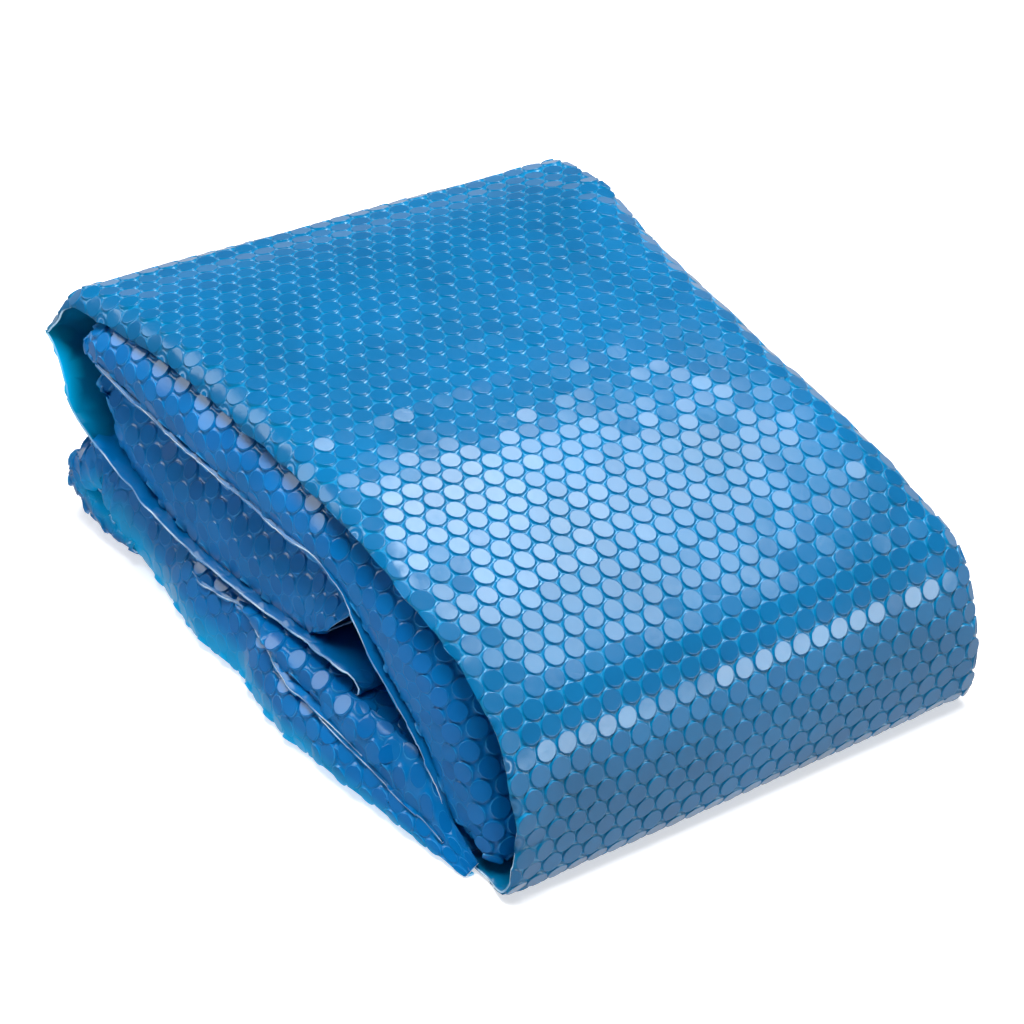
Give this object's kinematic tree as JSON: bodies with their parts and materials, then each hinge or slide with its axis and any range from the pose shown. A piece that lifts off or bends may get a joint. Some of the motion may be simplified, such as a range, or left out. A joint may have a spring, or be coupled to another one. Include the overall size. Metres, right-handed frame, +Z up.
{
  "type": "folded pool bubble cover",
  "caption": "Blue bubble film pool cover folded into a thick soft bundle, with rounded folds and a top half that opens like a book.",
  "frame": {"origin": "centre of the bounding box's bottom, on the floor that the bundle lies on", "axes": "+X along the folds, +Y from the front fold to the back loop, +Z up"},
  "size_m": [0.3352, 0.46, 0.172],
  "materials": {
    "bubble_film": "glossy translucent polyethylene film"
  },
  "bodies": {
    "lower_half": {"front_fold_lower": "bubble_film", "base_ply": "bubble_film", "lower_base_panel": "bubble_film", "lower_top_panel": "bubble_film", "lower_back_fold": "bubble_film", "tucked_end": "bubble_film"},
    "upper_half": {"top_panel": "bubble_film", "outer_back_loop": "bubble_film", "return_panel": "bubble_film", "front_fold_upper": "bubble_film", "inner_top_panel": "bubble_film", "inner_front_curl": "bubble_film", "inner_back_loop": "bubble_film", "inner_lower_panel": "bubble_film"}
  },
  "joints": [
    {"name": "front_fold", "type": "hinge", "parent": "lower_half", "child": "upper_half", "pos_m": [0, -0.216, 0.086], "axis": [1, 0, 0], "range_deg": [0, 180]}
  ]
}
